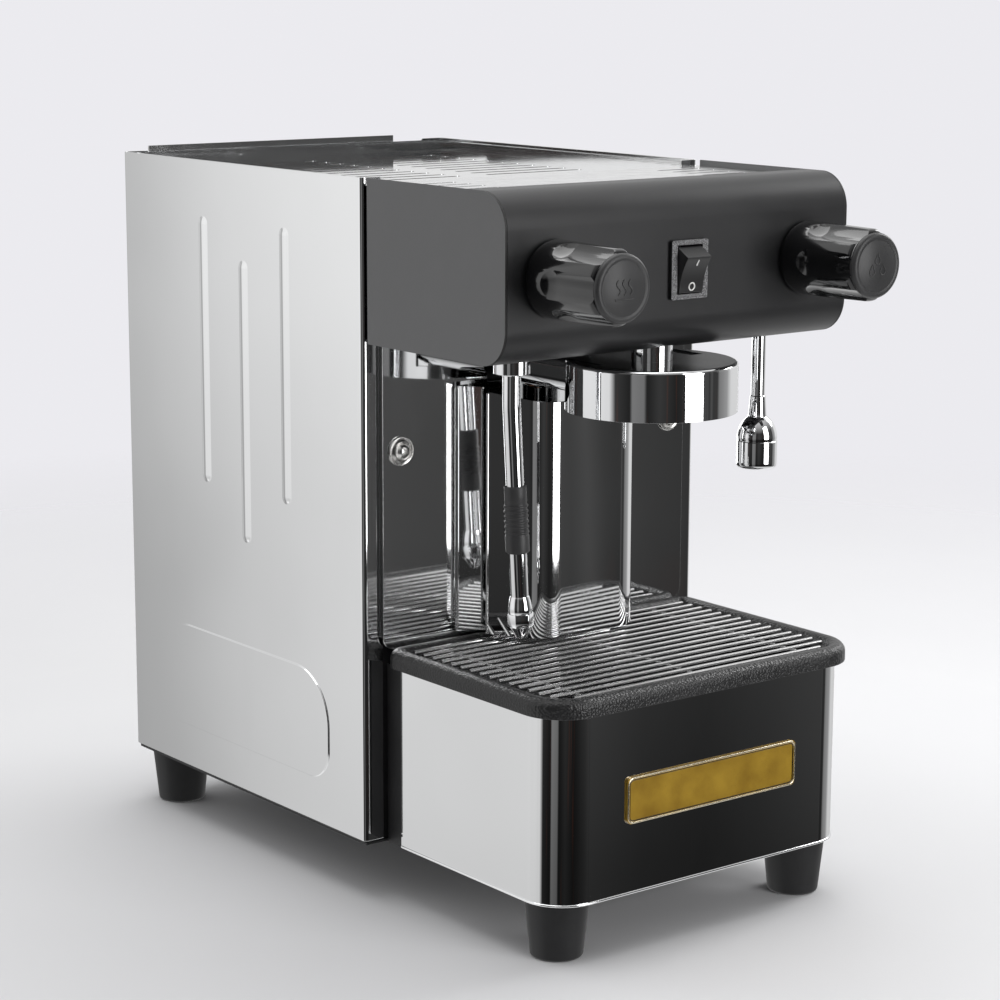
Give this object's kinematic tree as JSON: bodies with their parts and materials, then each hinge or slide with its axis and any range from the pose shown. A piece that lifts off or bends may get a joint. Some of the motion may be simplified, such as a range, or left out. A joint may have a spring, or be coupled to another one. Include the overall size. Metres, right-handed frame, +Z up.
{
  "type": "espresso machine",
  "caption": "Compact espresso machine with an overhanging head, brewing group, steam wand, hot-water nozzle and drip tray.",
  "frame": {"origin": "under the middle of the overall box, on the surface that the feet stand on", "axes": "+X to the right of someone facing the machine, +Y to its back, +Z up"},
  "size_m": [0.2624, 0.4686, 0.4406],
  "materials": {
    "mirror_steel": "mirror-polished stainless sheet",
    "chrome": "polished chrome plate",
    "steel_strip": "bright stainless sheet",
    "wire_steel": "drawn stainless wire",
    "head_grey": "matt grey powder coat",
    "head_black": "satin black powder coat",
    "frame_black": "black painted steel",
    "knob_black": "gloss black phenolic",
    "cap_rubber": "matt rubber",
    "black_plastic": "fine-grained black plastic",
    "grained_plastic": "pebbled black plastic",
    "foot_rubber": "matt black rubber",
    "brass": "turned brass",
    "copper": "copper",
    "amber_plate": "amber lacquered plate",
    "ptfe": "white PTFE",
    "dark_metal": "grey painted coil and body",
    "galvanised": "galvanised sheet",
    "clear_plastic": "milky polyethylene",
    "screw_steel": "zinc-plated steel"
  },
  "bodies": {
    "machine": {"chassis_floor": "frame_black", "base_frame": "frame_black", "front_upright": "frame_black", "side_panel_left": "mirror_steel", "side_panel_right": "mirror_steel", "rear_wall": "mirror_steel", "rear_screws": "screw_steel", "splash_panel": "mirror_steel", "splash_screws": "screw_steel", "pillar_cover": "mirror_steel", "head_top_plate": "steel_strip", "head_cover": "head_black", "head_side_left": "head_grey", "head_side_right": "head_grey", "switch_bezel": "black_plastic", "steam_valve": "brass", "water_valve": "brass", "group_body": "chrome", "group_bell": "chrome", "group_gasket": "cap_rubber", "shower_screen": "chrome", "shower_screw": "screw_steel", "wand_nut": "chrome", "water_pipe": "chrome", "water_nozzle": "chrome", "base_shell": "mirror_steel", "badge_plate": "amber_plate", "foot_front_left": "foot_rubber", "foot_front_right": "foot_rubber", "foot_rear_left": "foot_rubber", "foot_rear_right": "foot_rubber", "foot_screws": "screw_steel", "boiler": "copper", "heating_element": "screw_steel", "pump": "dark_metal", "pump_mounts": "foot_rubber", "tank_bracket": "galvanised", "water_tank": "clear_plastic", "tank_lid": "clear_plastic", "solenoid_valve": "dark_metal", "pressurestat": "dark_metal", "valve_feed_pipes": "copper", "boiler_feed_pipe": "copper", "suction_hose": "clear_plastic", "cable_gland": "black_plastic", "head_frame": "frame_black"},
    "steam_knob": {"steam_knob": "knob_black", "steam_knob_cap": "cap_rubber", "steam_spindle": "brass"},
    "water_knob": {"water_knob": "knob_black", "water_knob_cap": "cap_rubber", "water_spindle": "brass"},
    "rocker": {"rocker": "black_plastic"},
    "wand_swivel": {"wand_seat": "ptfe"},
    "steam_wand": {"steam_wand": "chrome", "wand_grip": "cap_rubber", "wand_tip": "chrome"},
    "cup_tray": {"cup_tray": "mirror_steel"},
    "drip_tray": {"drip_tray": "grained_plastic", "drip_grill": "wire_steel"}
  },
  "joints": [
    {"name": "steam_knob_turn", "type": "hinge", "parent": "machine", "child": "steam_knob", "pos_m": [-0.0953, -0.1746, 0.3891], "axis": [0, -1, 0], "range_deg": [0, 450]},
    {"name": "water_knob_turn", "type": "hinge", "parent": "machine", "child": "water_knob", "pos_m": [0.0953, -0.1746, 0.3891], "axis": [0, -1, 0], "range_deg": [0, 450]},
    {"name": "rocker_tip", "type": "hinge", "parent": "machine", "child": "rocker", "pos_m": [0.0023, -0.1737, 0.3881], "axis": [1, 0, 0], "range_deg": [-38, 0]},
    {"name": "wand_swing", "type": "hinge", "parent": "machine", "child": "wand_swivel", "pos_m": [-0.095, -0.1373, 0.3371], "axis": [0, 0, 1], "range_deg": [-20, 80]},
    {"name": "wand_tilt", "type": "hinge", "parent": "wand_swivel", "child": "steam_wand", "pos_m": [-0.095, -0.1373, 0.3371], "axis": [0, 1, 0], "range_deg": [-4, 20]},
    {"name": "cup_tray_lift", "type": "slide", "parent": "machine", "child": "cup_tray", "axis": [0, 0, 1], "range_m": [0, 0.06]},
    {"name": "drip_tray_tilt", "type": "hinge", "parent": "machine", "child": "drip_tray", "pos_m": [0, -0.0449, 0.1468], "axis": [-1, 0, 0], "range_deg": [0, 3]}
  ]
}
